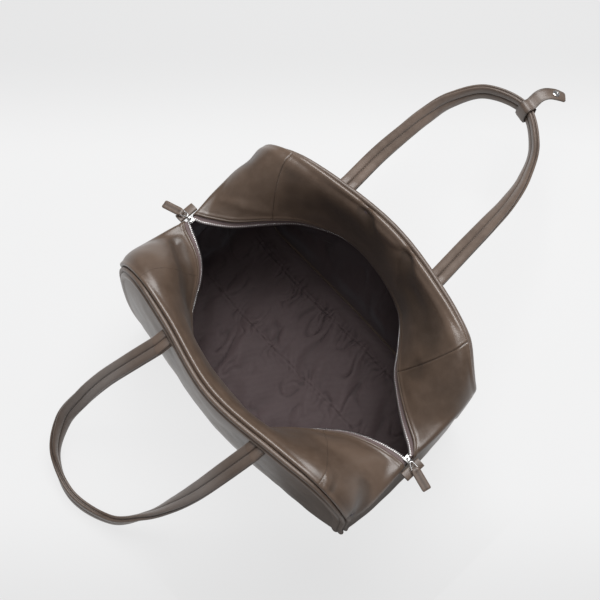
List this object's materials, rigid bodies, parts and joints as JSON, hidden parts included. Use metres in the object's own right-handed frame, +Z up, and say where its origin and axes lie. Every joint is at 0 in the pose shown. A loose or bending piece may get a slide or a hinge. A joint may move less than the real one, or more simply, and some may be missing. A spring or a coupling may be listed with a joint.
{
  "type": "boston bag",
  "caption": "Leather boston bag with curved ends, standing open on its base with the zip spread and both strap handles fallen outwards.",
  "frame": {"origin": "middle of the flat underside of the base", "axes": "+X along the zip, +Y from the front panel to the back panel, +Z up"},
  "size_m": [0.4786, 0.8514, 0.2597],
  "materials": {
    "leather": "smooth, soft sheen",
    "piping": "smooth, soft sheen",
    "handle_leather": "smooth, soft sheen",
    "lining": "matt twill",
    "zip_tape": "woven",
    "zip_metal": "polished"
  },
  "bodies": {
    "root": {"front_panel": "leather", "back_panel": "leather", "lower_gusset": "leather", "front_strip_left": "leather", "front_strip_middle": "leather", "front_strip_right": "leather", "back_strip_left": "leather", "back_strip_middle": "leather", "back_strip_right": "leather", "front_piping": "piping", "back_piping": "piping", "front_lining": "lining", "back_lining": "lining", "front_strip_lining": "lining", "back_strip_lining": "lining", "gusset_lining": "lining", "front_zip_tape": "zip_tape", "back_zip_tape": "zip_tape", "front_zip_teeth": "zip_metal", "back_zip_teeth": "zip_metal", "left_slider": "zip_metal", "right_slider": "zip_metal", "left_bail": "zip_metal", "right_bail": "zip_metal", "left_pull": "handle_leather", "right_pull": "handle_leather", "left_end_tab": "handle_leather", "right_end_tab": "handle_leather", "front_handle": "handle_leather", "back_handle": "handle_leather", "keeper_strap": "handle_leather", "snap_cap": "zip_metal"}
  },
  "joints": []
}
